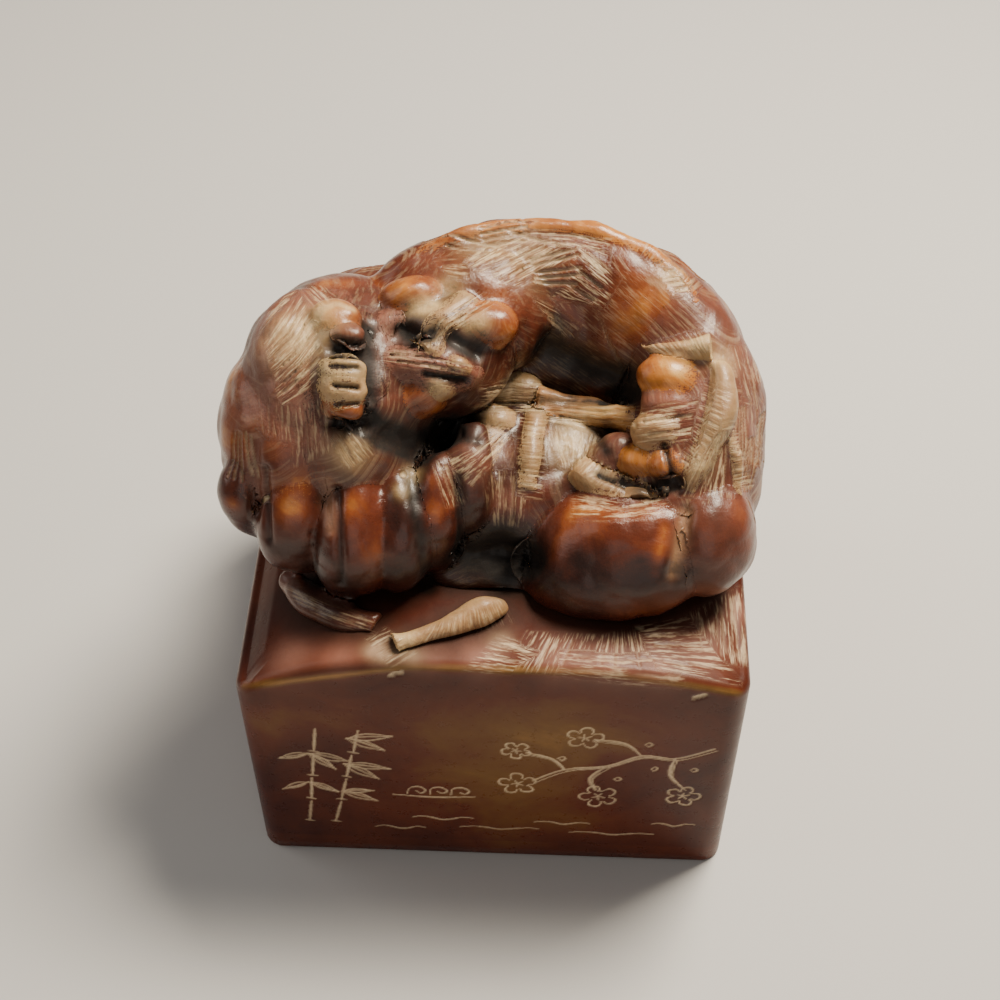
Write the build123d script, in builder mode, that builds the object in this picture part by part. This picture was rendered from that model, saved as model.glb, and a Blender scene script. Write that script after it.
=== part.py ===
from build123d import *
import os

os.makedirs("parts", exist_ok=True)

# A seal stamp carved from one piece of soapstone: a square block below, and a knob of two
# beasts curled head to head above it. +Z is up, the printing face lies on z = 0 and the
# polished front looks along -Y. Lengths are in millimetres.

# The block
block_width = 50
block_depth = 50
block_height = 35.4
corner_radius = 2.2
left_shoulder_drop = 5.8
right_shoulder_drop = 3.1
shelf_thickness = 9
overrun = 2

# The printing face, with its raised border and a plain fret
face_thickness = 3
relief_depth = 0.8
border_width = 2.4
fret_width = 2.2
pad_width = 11
hook_distance = 13
hook_length = 18
hook_return = 6

# The knob above the block's crown, and the stone under the beasts
knob_height = 24.5
core_width = 38
core_girth = 26

# The left beast
left_body_width = 21.4
left_body_girth = 25.5
left_head_width = 8.4
left_head_girth = 11.5
left_mane_width = 13
left_mane_girth = 17.8
left_shoulder_width = 15.2
left_shoulder_girth = 19
left_haunch_width = 20
left_haunch_girth = 17.5
left_eye_length = 4.6
left_nose_length = 3.4
left_lip_length = 4.2
left_chin_length = 3.8
left_foreleg_thickness = 5.2
left_tail_thickness = 2.8
toe_thickness = 5.4
toe_height = 12

# The right beast
right_head_width = 14
right_head_girth = 12.6
right_neck_width = 15
right_neck_girth = 12.8
back_thickness = 14.8
back_height = 28.6
brow_length = 5.6
nose_thickness = 2.8
cheek_length = 3.8
muzzle_width = 9.6
muzzle_girth = 3.8
jaw_length = 5.6
tooth_length = 2.2
ear_thickness = 3
lock_thickness = 3
side_lock_thickness = 1.7
spine_thickness = 1.8
right_shoulder_length = 6
elbow_length = 5
forearm_length = 6
paw_length = 4.8
claw_length = 4.4
ledge_thickness = 3
thigh_length = 21
thigh_girth = 13.6
right_haunch_width = 9.6
right_haunch_girth = 12.8
right_tail_thickness = 3.2

# The openwork in the middle
crossbar_thickness = 2.6
upright_thickness = 2.6
tuft_thickness = 3.4
lower_tuft_length = 3.8

# How thick a small rounded detail is for its length
nub_share = 0.75

# Where the flattened forms have their cross-sections, from one side to the other
egg_shares = (-0.98, -0.85, -0.5, 0, 0.5, 0.85, 0.98)

finished = []


def spot(x_share, y_share, z_share):
    """A place on the stone: shares of the block's width and depth, and of the knob's height."""
    return Vector(x_share * block_width, y_share * block_depth, block_height + z_share * knob_height)


def on(lump, length_share, back_share, up_share):
    """A place on a lump, given as centre, length and girth: shares of its half sizes."""
    centre, length, girth = lump
    return centre + Vector(length_share * length / 2, back_share * girth / 2, up_share * girth / 2)


def boulder(centre, length, girth, turn=(0, 0, 0)):
    """An egg of stone, round about its length, which lies along X before its turn."""
    with BuildPart() as egg:
        with BuildSketch(Plane.XZ):
            Ellipse(length / 2, girth / 2)
            Rectangle(length, girth, align=(Align.CENTER, Align.MAX), mode=Mode.SUBTRACT)
        revolve(axis=Axis.X)
    return egg.part.moved(Location(centre, turn))


def flat_boulder(centre, width, girth):
    """An egg of stone that is narrower along X than it is round."""
    with BuildPart() as egg:
        for share in egg_shares:
            with BuildSketch(Plane.YZ.offset(share * width / 2)):
                Circle(girth / 2 * (1 - share * share) ** 0.5)
        loft()
    return egg.part.moved(Location(centre))


def nub(centre, length):
    """A small rounded detail."""
    return boulder(centre, length, nub_share * length)


def sections(centres, side=None):
    """The cross-section planes of a limb that runs through the centres."""
    planes = []
    for index, centre in enumerate(centres):
        ahead = centres[min(index + 1, len(centres) - 1)]
        behind = centres[max(index - 1, 0)]
        along = (ahead - behind).normalized()
        across = side if side else Vector(0, 0, 1).cross(along)
        across = across - along * across.dot(along)
        planes.append(Plane(centre, x_dir=across.normalized(), z_dir=along))
    return planes


def limb(planes, half_sizes):
    """A limb lofted through elliptical cross-sections."""
    with BuildPart() as lofted:
        for plane, (half_width, half_height) in zip(planes, half_sizes):
            with BuildSketch(plane):
                Ellipse(half_width, half_height)
        loft()
    return lofted.part


def tapered_limb(centres, thickness, taper_shares, flat_share=1, side=None):
    """A limb whose thickness follows the taper shares, and its height the flat share of that."""
    half_sizes = [(share * thickness / 2, flat_share * share * thickness / 2) for share in taper_shares]
    return limb(sections(centres, side), half_sizes)


def meets(box, other):
    """Whether two bounding boxes reach each other."""
    return (
        box.min.X < other.max.X and other.min.X < box.max.X
        and box.min.Y < other.max.Y and other.min.Y < box.max.Y
        and box.min.Z < other.max.Z and other.min.Z < box.max.Z)


def carve(label, blank):
    """Cuts a blank back to the faces of its finished neighbours, names it and writes it."""
    box = blank.bounding_box()
    with BuildPart() as form:
        add(blank)
        for neighbour, neighbour_box in finished:
            if meets(box, neighbour_box):
                add(neighbour, mode=Mode.SUBTRACT, clean=False)
    solid = form.part.solids().sort_by(SortBy.VOLUME)[-1]
    solid.label = label
    finished.append((solid, solid.bounding_box()))
    export_step(solid, f"parts/{label}.step")


# printing face
field_width = block_width - 2 * border_width
field_depth = block_depth - 2 * border_width
with BuildPart() as printing_face:
    with BuildSketch(Plane.XY):
        RectangleRounded(block_width, block_depth, corner_radius)
    extrude(amount=face_thickness)
    with BuildSketch(Plane.XY):
        Rectangle(field_width, field_depth)
        Rectangle(pad_width, pad_width, mode=Mode.SUBTRACT)
        with PolarLocations(hook_distance, 4):
            Rectangle(fret_width, hook_length, mode=Mode.SUBTRACT)
        with PolarLocations(hook_distance + hook_return / 2, 4):
            with Locations((0, (hook_length - fret_width) / 2)):
                Rectangle(hook_return, fret_width, mode=Mode.SUBTRACT)
    extrude(amount=relief_depth, mode=Mode.SUBTRACT)
carve("printing_face", printing_face.part)

# seal block
with BuildPart() as seal_block:
    with BuildSketch(Plane.XY.offset(face_thickness)):
        RectangleRounded(block_width, block_depth, corner_radius)
    extrude(amount=block_height - shelf_thickness - face_thickness)
carve("seal_block", seal_block.part)

# top shelf, crowned towards the middle and lowest at its left shoulder
crown_points = [
    (-block_width / 2 - overrun, block_height - left_shoulder_drop * 1.3),
    (-block_width / 2, block_height - left_shoulder_drop),
    (-block_width / 3, block_height - left_shoulder_drop / 5),
    (0, block_height),
    (block_width / 3, block_height - right_shoulder_drop / 4),
    (block_width / 2, block_height - right_shoulder_drop),
    (block_width / 2 + overrun, block_height - right_shoulder_drop * 1.2),
]
with BuildPart() as top_shelf:
    with BuildSketch(Plane.XY.offset(block_height - shelf_thickness)):
        RectangleRounded(block_width, block_depth, corner_radius)
    extrude(amount=shelf_thickness + overrun)
    with BuildSketch(Plane.XZ.offset(-block_depth / 2 - overrun)):
        with BuildLine():
            Spline(*crown_points)
            Polyline(
                crown_points[-1],
                (block_width / 2 + overrun, block_height + 2 * overrun),
                (-block_width / 2 - overrun, block_height + 2 * overrun),
                crown_points[0])
        make_face()
    extrude(amount=block_depth + 2 * overrun, mode=Mode.SUBTRACT)
carve("top_shelf", top_shelf.part)

# the left beast's head, mane and shoulder
left_body_lump = (spot(-0.306, -0.02, 0.408), left_body_width, left_body_girth)
left_head_lump = (on(left_body_lump, 0.05, -0.29, 0.61), left_head_width, left_head_girth)
carve("left_head", flat_boulder(*left_head_lump))
carve("left_mane", flat_boulder(on(left_body_lump, -0.25, -0.12, 0.36), left_mane_width, left_mane_girth))
shoulder_centre = on(left_body_lump, -0.39, -0.27, 0.04)
carve("left_shoulder", flat_boulder(shoulder_centre, left_shoulder_width, left_shoulder_girth))

# the right beast's head
right_head_lump = (spot(-0.115, 0, 0.68), right_head_width, right_head_girth)
carve("right_head", boulder(*right_head_lump))

# the ring of the right beast's back and flank, from the nape round to the front
ring_centres = [
    spot(-0.2, 0.1, 0.33), spot(-0.1, 0.155, 0.39), spot(0.04, 0.185, 0.4), spot(0.18, 0.175, 0.39),
    spot(0.31, 0.12, 0.36), spot(0.375, 0.02, 0.3), spot(0.38, -0.1, 0.22), spot(0.35, -0.22, 0.12)]
ring_shares = [
    (0.7, 0.87), (0.89, 0.98), (0.97, 1), (1, 0.99),
    (1, 0.92), (0.97, 0.83), (0.92, 0.7), (0.73, 0.5)]
ring_planes = sections(ring_centres)
ring_halves = [(wide * back_thickness / 2, high * back_height / 2) for wide, high in ring_shares]
back_end = 5


def ring_spot(station, across_share, up_share):
    """A place on the ring, between two of its stations: shares of the section's half sizes."""
    low = min(int(station), len(ring_planes) - 2)
    ends = []
    for index in (low, low + 1):
        plane = ring_planes[index]
        half_width, half_height = ring_halves[index]
        aside = plane.x_dir * (half_width * across_share)
        ends.append(plane.origin + aside + plane.y_dir * (half_height * up_share))
    return ends[0] + (ends[1] - ends[0]) * (station - low)


carve("right_back", limb(ring_planes[:back_end], ring_halves[:back_end]))
carve("right_flank", limb(ring_planes[back_end - 1:], ring_halves[back_end - 1:]))
carve("right_neck", boulder(spot(-0.05, 0.1, 0.72), right_neck_width, right_neck_girth))

# toes of the left forepaw: top, middle and base across, depth of the middle, drop, thickness
toe_shares = (
    (-0.45, -0.475, -0.45, -0.25, 0.1, 0.85),
    (-0.37, -0.39, -0.38, -0.3, 0.03, 1.05),
    (-0.26, -0.266, -0.27, -0.325, -0.03, 1.2),
    (-0.176, -0.176, -0.19, -0.32, -0.03, 0.95),
    (-0.11, -0.11, -0.12, -0.285, 0, 0.85),
    (-0.05, -0.054, -0.06, -0.24, 0.06, 0.8),
)
toe_taper_shares = (0.5, 0.95, 1.1, 0.95, 0.5)
for number, (top, middle, base, depth, drop, girth) in enumerate(toe_shares, start=1):
    foot = block_height + drop * knob_height
    toe_centres = [
        Vector(top * block_width, (depth + 0.12) * block_depth, foot + 0.95 * toe_height),
        Vector(top * block_width, (depth + 0.05) * block_depth, foot + 0.82 * toe_height),
        Vector(middle * block_width, (depth + 0.015) * block_depth, foot + 0.5 * toe_height),
        Vector(base * block_width, (depth + 0.03) * block_depth, foot + 0.18 * toe_height),
        Vector(base * block_width, (depth + 0.07) * block_depth, foot),
    ]
    toe = tapered_limb(toe_centres, toe_thickness * girth, toe_taper_shares, 0.9, Vector(1, 0, 0))
    carve(f"left_toe_{number}", toe)

# bodies, haunches and the stone under them, cut to the forms that stand in front
carve("left_body", flat_boulder(*left_body_lump))
carve("left_haunch", boulder(spot(-0.24, 0.22, 0.24), left_haunch_width, left_haunch_girth))
carve("right_haunch", flat_boulder(spot(0.405, -0.225, 0.2), right_haunch_width, right_haunch_girth))
carve("right_thigh", boulder(spot(0.24, -0.25, 0.12), thigh_length, thigh_girth, (0, -18, 0)))
core_lump = (spot(0.02, -0.06, -0.09), core_width, core_girth)
carve("knob_core", boulder(*core_lump))

# the left beast's face
carve("left_eye", nub(on(left_head_lump, -0.1, 0.32, 0.93), left_eye_length))
carve("left_nose", nub(on(left_head_lump, 0.31, -0.1, 0.9), left_nose_length))
carve("left_upper_lip", nub(on(left_head_lump, 0.23, -0.58, 0.74), left_lip_length))
carve("left_lower_lip", nub(on(left_head_lump, 0.22, -0.79, 0.54), left_lip_length))
carve("left_chin", nub(on(left_head_lump, 0.24, -0.93, 0.28), left_chin_length))

# the left beast's foreleg and tail
foreleg_centres = [
    on(core_lump, -0.04, -0.03, 0.93),
    on(core_lump, -0.147, -0.234, 0.92),
    on(core_lump, -0.26, -0.455, 0.85),
]
carve("left_foreleg", tapered_limb(foreleg_centres, left_foreleg_thickness, (0.75, 1, 0.85), 0.7))
tail_centres = [spot(-0.41, -0.27, -0.07), spot(-0.34, -0.352, -0.03), spot(-0.22, -0.405, 0)]
carve("left_tail", tapered_limb(tail_centres, left_tail_thickness, (0.8, 1, 0.7), 0.8))

# the right beast's face
carve("right_muzzle", boulder(on(right_head_lump, -0.06, -0.74, 0.42), muzzle_width, muzzle_girth, (0, 12, 0)))
carve("right_jaw", nub(on(right_head_lump, -0.29, -0.92, 0), jaw_length))
carve("right_outer_brow", nub(on(right_head_lump, -0.36, 0.25, 0.86), brow_length))
carve("right_inner_brow", nub(on(right_head_lump, 0.64, -0.12, 0.69), brow_length))
carve("right_cheek", nub(on(right_head_lump, -0.58, -0.18, 0.69), cheek_length))
carve("right_upper_tooth", nub(on(right_head_lump, 0.28, -0.84, 0.54), tooth_length))
carve("right_lower_tooth", nub(on(right_head_lump, 0.08, -0.98, 0.24), tooth_length))
nose_centres = [
    on(right_head_lump, 0.41, 0.16, 0.92),
    on(right_head_lump, 0.12, -0.26, 0.86),
    on(right_head_lump, -0.15, -0.66, 0.66),
]
carve("right_nose", tapered_limb(nose_centres, nose_thickness, (0.7, 0.9, 1.1)))

# the right beast's ear, locks of hair and spine, along the ring
ring_limbs = {
    "right_ear": (
        [(4.11, -0.82, 0.76), (4.74, -0.37, 1.01), (4.88, 0.07, 1.07)],
        ear_thickness, (0.25, 0.7, 1)),
    "right_long_lock": (
        [(5.03, 0.12, 1.02), (5.38, 0.25, 1.04), (5.79, 0.27, 1.03), (6.29, 0.16, 1.04), (6.71, 0.12, 1.04)],
        lock_thickness, (0.6, 1, 1, 0.9, 0.5)),
    "right_side_lock": (
        [(5.81, 0.37, 0.95), (6.18, 0.65, 0.85), (6.6, 0.85, 0.72)],
        side_lock_thickness, (0.6, 1, 0.8)),
    "right_spine": (
        [(0.62, 0.04, 0.95), (1.34, 0.12, 1.01), (2, 0.08, 1.0), (2.85, 0.11, 1.01), (3.61, 0.15, 1.0),
         (4.29, 0.09, 1.0)],
        spine_thickness, (0.5, 1, 1, 1, 1, 0.5)),
}
for label, (places, thickness, taper_shares) in ring_limbs.items():
    carve(label, tapered_limb([ring_spot(*place) for place in places], thickness, taper_shares))

# the right beast's foreleg, folded over the flank, with its paw and claws
carve("right_shoulder", nub(ring_spot(5.01, -0.48, 0.84), right_shoulder_length))
carve("right_elbow", nub(ring_spot(5.43, -0.47, 0.85), elbow_length))
carve("right_forearm", nub(ring_spot(5.85, -0.51, 0.84), forearm_length))
carve("right_paw", nub(ring_spot(6.11, -1.07, 0.54), paw_length))
carve("right_claw_1", nub(ring_spot(6.28, -0.67, 0.73), claw_length))
carve("right_claw_2", nub(ring_spot(6.34, -0.24, 0.88), claw_length))
ledge_centres = [
    on(core_lump, 0.35, -0.36, 0.87),
    on(core_lump, 0.495, -0.54, 0.9),
    on(core_lump, 0.695, -0.634, 0.93),
    on(core_lump, 0.84, -0.65, 0.98),
]
carve("paw_ledge", tapered_limb(ledge_centres, ledge_thickness, (1, 1.1, 0.9, 0.5)))
bone_centres = [
    spot(0.03, -0.352, 0.01), spot(0.005, -0.364, 0.02), spot(-0.08, -0.415, 0.025), spot(-0.185, -0.455, 0.01)]
carve("right_tail", tapered_limb(bone_centres, right_tail_thickness, (0.5, 1, 0.85, 0.9)))

# the openwork in the middle
bar_centres = [on(core_lump, 0.147, 0.166, 1.01), on(core_lump, 0.42, 0.11, 1), on(core_lump, 0.66, -0.014, 1.07)]
carve("crossbar", tapered_limb(bar_centres, crossbar_thickness, (1, 0.85, 1)))
upright_centres = [on(core_lump, 0.147, 0.1, 1), on(core_lump, 0.12, -0.23, 0.975), on(core_lump, 0.1, -0.55, 0.81)]
carve("upright", tapered_limb(upright_centres, upright_thickness, (1, 0.9, 0.9)))
tuft_centres = [on(core_lump, -0.13, 0.24, 0.97), on(core_lump, 0.016, 0.29, 1.03), on(core_lump, 0.15, 0.25, 1)]
carve("tuft", tapered_limb(tuft_centres, tuft_thickness, (0.6, 1.1, 0.8)))
carve("lower_tuft", nub(on(core_lump, -0.07, -0.02, 0.99), lower_tuft_length))
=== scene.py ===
import bpy
import math
import random
import numpy as np
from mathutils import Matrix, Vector
from mathutils.bvhtree import BVHTree
from mathutils.kdtree import KDTree


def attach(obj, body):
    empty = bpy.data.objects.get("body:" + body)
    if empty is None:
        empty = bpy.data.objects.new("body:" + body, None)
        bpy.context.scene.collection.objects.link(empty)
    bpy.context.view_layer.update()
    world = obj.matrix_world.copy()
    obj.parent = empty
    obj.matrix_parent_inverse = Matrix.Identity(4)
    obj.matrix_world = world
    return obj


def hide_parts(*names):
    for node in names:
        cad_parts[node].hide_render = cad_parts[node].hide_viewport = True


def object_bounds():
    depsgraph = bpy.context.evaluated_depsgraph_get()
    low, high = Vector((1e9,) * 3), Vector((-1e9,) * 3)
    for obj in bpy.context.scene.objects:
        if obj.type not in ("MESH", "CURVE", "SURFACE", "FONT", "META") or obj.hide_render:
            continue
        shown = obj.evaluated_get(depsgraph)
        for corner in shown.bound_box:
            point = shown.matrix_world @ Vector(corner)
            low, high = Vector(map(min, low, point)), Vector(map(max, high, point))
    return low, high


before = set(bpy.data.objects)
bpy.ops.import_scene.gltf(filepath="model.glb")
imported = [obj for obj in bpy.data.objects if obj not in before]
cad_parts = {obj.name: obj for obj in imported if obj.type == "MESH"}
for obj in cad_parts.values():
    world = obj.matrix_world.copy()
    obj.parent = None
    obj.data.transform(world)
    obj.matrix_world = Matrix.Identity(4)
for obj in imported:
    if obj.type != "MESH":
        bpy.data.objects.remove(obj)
cadLow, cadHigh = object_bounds()
chance = random.Random(11)
bpy.ops.object.select_all(action="DESELECT")

# the photograph's viewpoint, in millimetres and degrees; the last three are in pixels of a picture 1000 wide
viewpoint = {
    "at": (4.52, -116.3, 166.11), "tilt": 40.65, "turn": 2.22, "lens": 60.87, "sensor": 36, "nearest": 5,
    "focal": 1690.9, "middle": 500, "perMillimetre": 10.25}
bpy.ops.object.camera_add(
    location=[value / 1000 for value in viewpoint["at"]],
    rotation=(math.radians(viewpoint["tilt"]), 0, math.radians(viewpoint["turn"])))
camera = bpy.context.object
camera.data.lens = viewpoint["lens"]
camera.data.sensor_width = viewpoint["sensor"]
camera.data.clip_start = viewpoint["nearest"] / 1000
bpy.context.scene.camera = camera
bpy.context.view_layer.update()
print("camera set")


# stone finishes: what is painted on each vertex, and how fine each pattern in the stone is
paintChannels = ("warm", "chalk", "cream", "cut", "grime", "hatch", "combAcross", "combAlong")
patternScales = {"hairs": 3.0, "grain": 520, "specks": 2400, "patches": 230, "chisel": 1900}
combedLines = {"stretch": 0.1, "middle": 0.5, "paleContrast": 9.0, "gapMiddle": 0.47, "gapContrast": 8.0}


def addNode(finish, kind, values=None, **settings):
    node = finish.node_tree.nodes.new(kind)
    for name, value in settings.items():
        setattr(node, name, value)
    for name, value in (values or {}).items():
        if isinstance(value, bpy.types.NodeSocket):
            finish.node_tree.links.new(value, node.inputs[name])
        else:
            node.inputs[name].default_value = value
    return node


def sums(finish, operation, first, second, clamp=False):
    node = addNode(finish, "ShaderNodeMath", {0: first, 1: second}, operation=operation, use_clamp=clamp)
    return node.outputs[0]


def blendColour(finish, amount, first, second):
    node = addNode(finish, "ShaderNodeMix", data_type="RGBA")
    for index, value in ((0, amount), (6, first), (7, second)):
        if isinstance(value, bpy.types.NodeSocket):
            finish.node_tree.links.new(value, node.inputs[index])
        else:
            node.inputs[index].default_value = value
    return node.outputs[2]


def noiseAt(finish, where, scale, detail, rough, warp=0):
    return addNode(finish, "ShaderNodeTexNoise", {
        "Vector": where, "Scale": scale, "Detail": detail, "Roughness": rough, "Distortion": warp}).outputs["Fac"]


def stoneFinish(name, look):
    finish = bpy.data.materials.new(name)
    finish.use_nodes = True
    finish.node_tree.nodes.clear()
    where = addNode(finish, "ShaderNodeTexCoord").outputs["Object"]
    painted = {
        key: addNode(finish, "ShaderNodeAttribute", attribute_name=key).outputs["Fac"]
        for key in paintChannels}
    # fine combed lines, that lie along the two painted distances in millimetres
    lane = addNode(finish, "ShaderNodeCombineXYZ", {
        "X": painted["combAcross"], "Y": sums(finish, "MULTIPLY", painted["combAlong"], combedLines["stretch"])})
    hairs = noiseAt(finish, lane.outputs["Vector"], patternScales["hairs"], 3, 0.65)
    hairLine = sums(finish, "SUBTRACT", hairs, combedLines["middle"])
    hairLine = sums(finish, "MULTIPLY", hairLine, combedLines["paleContrast"], True)
    hairLine = sums(finish, "MULTIPLY", hairLine, painted["hatch"])
    hairGap = sums(finish, "SUBTRACT", combedLines["gapMiddle"], hairs)
    hairGap = sums(finish, "MULTIPLY", hairGap, combedLines["gapContrast"], True)
    hairGap = sums(finish, "MULTIPLY", hairGap, painted["hatch"])
    clouds = noiseAt(finish, where, look["cloudScale"], 5, 0.6, 0.9)
    grain = noiseAt(finish, where, patternScales["grain"], 6, 0.7)
    specks = noiseAt(finish, where, patternScales["specks"], 3, 0.6)
    patches = noiseAt(finish, where, patternScales["patches"], 4, 0.65)
    # how light the stone is here: painted warmth, which is the stone's amber with painted highlights and painted
    # shade, cloudy veins and grain
    light = sums(finish, "MULTIPLY", painted["warm"], look["paint"])
    light = sums(finish, "ADD", light, sums(finish, "MULTIPLY", sums(finish, "SUBTRACT", clouds, 0.5), look["veins"]))
    light = sums(finish, "ADD", light, sums(finish, "MULTIPLY", sums(finish, "SUBTRACT", grain, 0.5), look["grain"]))
    light = sums(finish, "ADD", light, look["base"])
    ramp = addNode(finish, "ShaderNodeValToRGB", {"Fac": light})
    stops = ramp.color_ramp.elements
    while len(stops) < len(look["tones"]):
        stops.new(0.5)
    for stop, (place, tone) in zip(stops, look["tones"]):
        stop.position = place
        stop.color = (*tone, 1)
    # dull mauve where it was scraped, cream where it was chiselled, pale lines where it was cut, dirt and painted
    # shade in the hollows
    scraped = sums(finish, "MULTIPLY", painted["chalk"], sums(finish, "ADD", patches, 0.45), True)
    colour = blendColour(finish, scraped, ramp.outputs["Color"], (*look["chalkTone"], 1))
    mottle = sums(finish, "ADD", sums(finish, "MULTIPLY", patches, 0.6), sums(finish, "MULTIPLY", grain, 0.9))
    rubbed = sums(finish, "MULTIPLY", painted["cream"], mottle, True)
    colour = blendColour(finish, rubbed, colour, (*look["creamTone"], 1))
    colour = blendColour(finish, sums(finish, "MULTIPLY", hairGap, 0.55), colour, (*look["gapTone"], 1))
    cutAmount = sums(finish, "MAXIMUM", painted["cut"], sums(finish, "MULTIPLY", hairLine, 0.8))
    cutAmount = sums(finish, "MULTIPLY", cutAmount, sums(finish, "ADD", specks, 0.4), True)
    colour = blendColour(finish, cutAmount, colour, (*look["cutTone"], 1))
    dirtAndShade = sums(finish, "MULTIPLY", painted["grime"], sums(finish, "ADD", grain, 0.45), True)
    colour = blendColour(finish, dirtAndShade, colour, (*look["grimeTone"], 1))
    # polished where whole, duller where scraped and cut
    worked = sums(finish, "MAXIMUM", sums(finish, "MAXIMUM", scraped, rubbed), cutAmount)
    dull = sums(finish, "ADD", sums(finish, "MULTIPLY", worked, 0.26), look["polish"])
    dull = sums(finish, "ADD", dull, sums(finish, "MULTIPLY", dirtAndShade, 0.4))
    dull = sums(finish, "ADD", dull, sums(finish, "MULTIPLY", sums(finish, "SUBTRACT", grain, 0.5), 0.3), True)
    chisel = addNode(finish, "ShaderNodeMapping", {
        "Vector": where, "Rotation": (0.3, 0.5, 0.9), "Scale": (1.0, 0.16, 1.0)})
    chisel = noiseAt(finish, chisel.outputs["Vector"], patternScales["chisel"], 2, 0.5)
    height = sums(finish, "ADD", sums(finish, "MULTIPLY", grain, 0.8), sums(finish, "MULTIPLY", specks, 0.3))
    height = sums(finish, "ADD", height, sums(finish, "MULTIPLY", chisel, sums(finish, "MULTIPLY", worked, 1.5)))
    combed = sums(finish, "MULTIPLY", sums(finish, "MULTIPLY", hairs, painted["hatch"]), -2.2)
    height = sums(finish, "ADD", height, combed)
    relief = addNode(finish, "ShaderNodeBump", {"Height": height, "Strength": look["relief"], "Distance": 0.00014})
    shader = addNode(finish, "ShaderNodeBsdfPrincipled", {
        "Base Color": colour, "Roughness": dull, "Normal": relief.outputs["Normal"],
        "Coat Weight": look["wax"], "Coat Roughness": 0.14, "Specular IOR Level": look["shine"],
        "Subsurface Weight": look["glow"], "Subsurface Scale": 0.0012, "Subsurface Radius": (1.0, 0.35, 0.12)})
    result = addNode(finish, "ShaderNodeOutputMaterial")
    finish.node_tree.links.new(shader.outputs["BSDF"], result.inputs["Surface"])
    return finish


darkToAmber = [
    (0.0, (0.008, 0.004, 0.003)), (0.25, (0.045, 0.012, 0.007)), (0.42, (0.11, 0.024, 0.01)),
    (0.6, (0.22, 0.055, 0.014)), (0.78, (0.45, 0.165, 0.03)), (1.0, (0.75, 0.44, 0.13))]
blockTones = [
    (0.0, (0.012, 0.004, 0.003)), (0.3, (0.05, 0.011, 0.007)), (0.5, (0.11, 0.026, 0.011)),
    (0.68, (0.17, 0.078, 0.022)), (0.84, (0.34, 0.17, 0.045)), (1.0, (0.7, 0.36, 0.1))]
stoneLooks = {
    "beast": {
        "tones": darkToAmber, "base": 0.3, "paint": 0.5, "veins": 0.75, "grain": 0.25, "polish": 0.3, "relief": 0.6,
        "wax": 0.14, "glow": 0.08, "shine": 0.4, "cloudScale": 120,
        "chalkTone": (0.22, 0.085, 0.055), "creamTone": (0.6, 0.42, 0.2), "cutTone": (0.74, 0.56, 0.33),
        "grimeTone": (0.01, 0.006, 0.004), "gapTone": (0.09, 0.03, 0.017)},
    "block": {
        "tones": blockTones, "base": 0.38, "paint": 0.5, "veins": 0.5, "grain": 0.14, "polish": 0.3, "relief": 0.2,
        "wax": 0.03, "glow": 0.05, "shine": 0.14, "cloudScale": 85,
        "chalkTone": (0.34, 0.16, 0.115), "creamTone": (0.52, 0.35, 0.22), "cutTone": (0.8, 0.62, 0.4),
        "grimeTone": (0.02, 0.01, 0.006), "gapTone": (0.12, 0.04, 0.025)},
}
finishes = {name: stoneFinish(name + "Stone", look) for name, look in stoneLooks.items()}
print("stone finishes made")


# rough shapes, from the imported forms
def pixelRay(across, down):
    turn = camera.matrix_world.to_3x3()
    middle, focal = viewpoint["middle"], viewpoint["focal"]
    way = turn @ Vector(((across - middle) / focal, (middle - down) / focal, -1))
    return camera.matrix_world.translation.copy(), way.normalized()


def pick(piece):
    bpy.ops.object.select_all(action="DESELECT")
    piece.hide_set(False)
    piece.select_set(True)
    bpy.context.view_layer.objects.active = piece


def addModifier(piece, kind, **settings):
    pick(piece)
    modifier = piece.modifiers.new(kind, kind)
    for name, value in settings.items():
        setattr(modifier, name, value)
    bpy.ops.object.modifier_apply(modifier=modifier.name)


def roughOut(node, name, look):
    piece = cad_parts[node].copy()
    piece.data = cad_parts[node].data.copy()
    for key in list(piece.keys()):
        del piece[key]
    piece.parent = None
    piece.name = name
    piece.data.name = name
    bpy.context.scene.collection.objects.link(piece)
    pick(piece)
    bpy.ops.object.mode_set(mode="EDIT")
    bpy.ops.mesh.select_all(action="SELECT")
    bpy.ops.mesh.remove_doubles(threshold=0.00001)
    bpy.ops.object.mode_set(mode="OBJECT")
    if look["swell"]:
        addModifier(piece, "DISPLACE", strength=look["swell"] / 1000, mid_level=0)
    addModifier(piece, "REMESH", mode="VOXEL", voxel_size=look["voxel"] / 1000)
    addModifier(piece, "SMOOTH", factor=0.5, iterations=look["soften"])
    piece.data.materials.clear()
    piece.data.materials.append(finishes[look["finish"]])
    bpy.ops.object.shade_smooth()
    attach(piece, "root")
    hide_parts(node)
    return piece


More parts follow.
